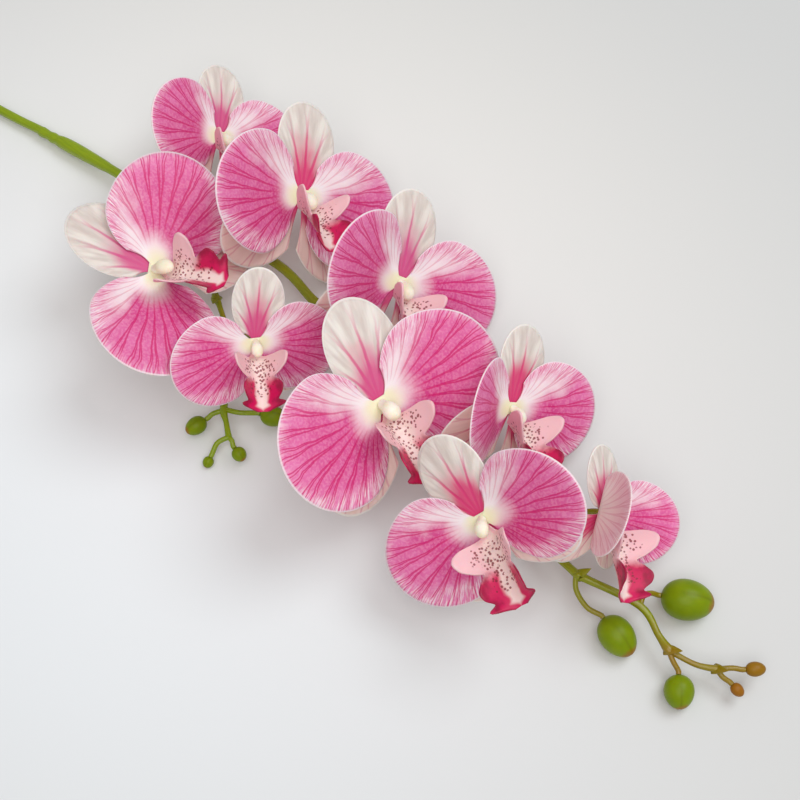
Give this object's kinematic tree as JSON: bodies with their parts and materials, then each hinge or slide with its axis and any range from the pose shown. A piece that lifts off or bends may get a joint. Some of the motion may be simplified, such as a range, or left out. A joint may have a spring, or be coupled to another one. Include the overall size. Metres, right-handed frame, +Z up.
{
  "type": "moth orchid stem",
  "caption": "Cut moth orchid stem lying down, with open pink blooms facing up and to one side, a short side branch and closed green buds at the tip.",
  "frame": {"origin": "centre of the bounding box at its lowest level, on the surface that the stem lies on", "axes": "+X along the stem from its cut end to its tip, +Z up out of the surface, +Y across the stem"},
  "size_m": [0.5952, 0.1682, 0.0926],
  "materials": {
    "petal": "satin",
    "sepal": "satin",
    "lip": "satin",
    "column": "satin",
    "stem": "satin",
    "bud": "satin"
  },
  "bodies": {
    "root": {"stem": "stem", "bud_1": "bud", "bud_2": "bud", "bud_3": "bud", "bud_4": "bud", "bud_5": "bud", "bud_6": "bud", "bud_7": "bud", "bud_8": "bud", "bud_9": "bud", "bloom_1_sepals": "sepal", "bloom_1_petals": "petal", "bloom_1_lip": "lip", "bloom_1_column": "column", "bloom_2_sepals": "sepal", "bloom_2_petals": "petal", "bloom_2_lip": "lip", "bloom_2_column": "column", "bloom_3_sepals": "sepal", "bloom_3_petals": "petal", "bloom_3_lip": "lip", "bloom_3_column": "column", "bloom_4_sepals": "sepal", "bloom_4_petals": "petal", "bloom_4_lip": "lip", "bloom_4_column": "column", "bloom_5_sepals": "sepal", "bloom_5_petals": "petal", "bloom_5_lip": "lip", "bloom_5_column": "column", "bloom_6_sepals": "sepal", "bloom_6_petals": "petal", "bloom_6_lip": "lip", "bloom_6_column": "column", "bloom_7_sepals": "sepal", "bloom_7_petals": "petal", "bloom_7_lip": "lip", "bloom_7_column": "column", "bloom_8_sepals": "sepal", "bloom_8_petals": "petal", "bloom_8_lip": "lip", "bloom_8_column": "column", "bloom_9_sepals": "sepal", "bloom_9_petals": "petal", "bloom_9_lip": "lip", "bloom_9_column": "column"}
  },
  "joints": []
}
